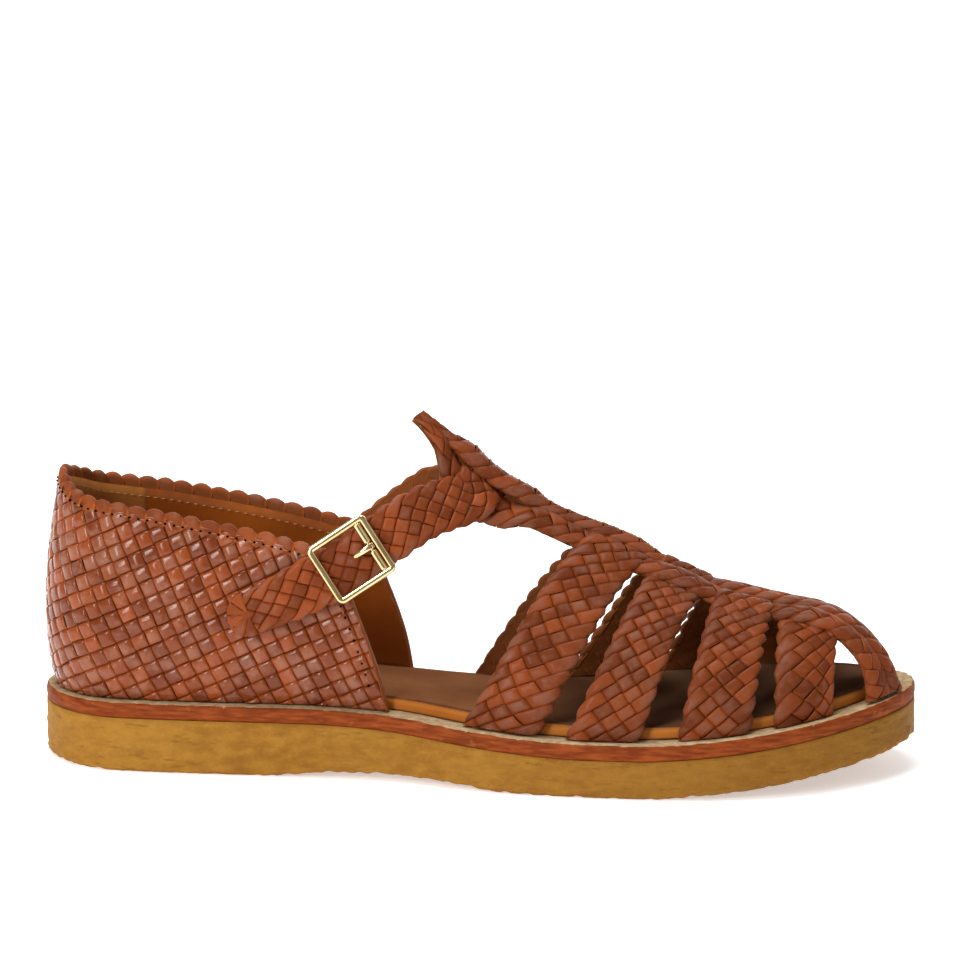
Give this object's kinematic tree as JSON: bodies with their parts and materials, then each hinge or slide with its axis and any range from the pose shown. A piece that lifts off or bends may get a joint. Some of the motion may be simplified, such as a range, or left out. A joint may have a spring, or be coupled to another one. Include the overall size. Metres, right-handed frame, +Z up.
{
  "type": "fisherman sandal",
  "caption": "Woven leather fisherman sandal with a closed heel, braided cross straps, a buckled ankle strap and a crepe wedge sole.",
  "frame": {"origin": "on the floor, under the middle of the sole's outline", "axes": "+X to the toe, +Z up, -Y to the outer side of the foot, where the buckle is"},
  "size_m": [0.2622, 0.0988, 0.1053],
  "materials": {
    "crepe": "matt natural crepe",
    "rust_edge": "matt dyed edge",
    "footbed": "satin",
    "woven_leather": "polished",
    "braided_leather": "burnished satin",
    "strap_leather": "burnished satin",
    "buckle_brass": "polished"
  },
  "bodies": {
    "root": {"outsole": "crepe", "midsole": "rust_edge", "insole": "footbed", "quarter": "woven_leather", "vamp": "braided_leather", "ankle_strap": "strap_leather", "buckle_frame": "buckle_brass", "buckle_roller": "buckle_brass", "buckle_prong": "buckle_brass"}
  },
  "joints": []
}
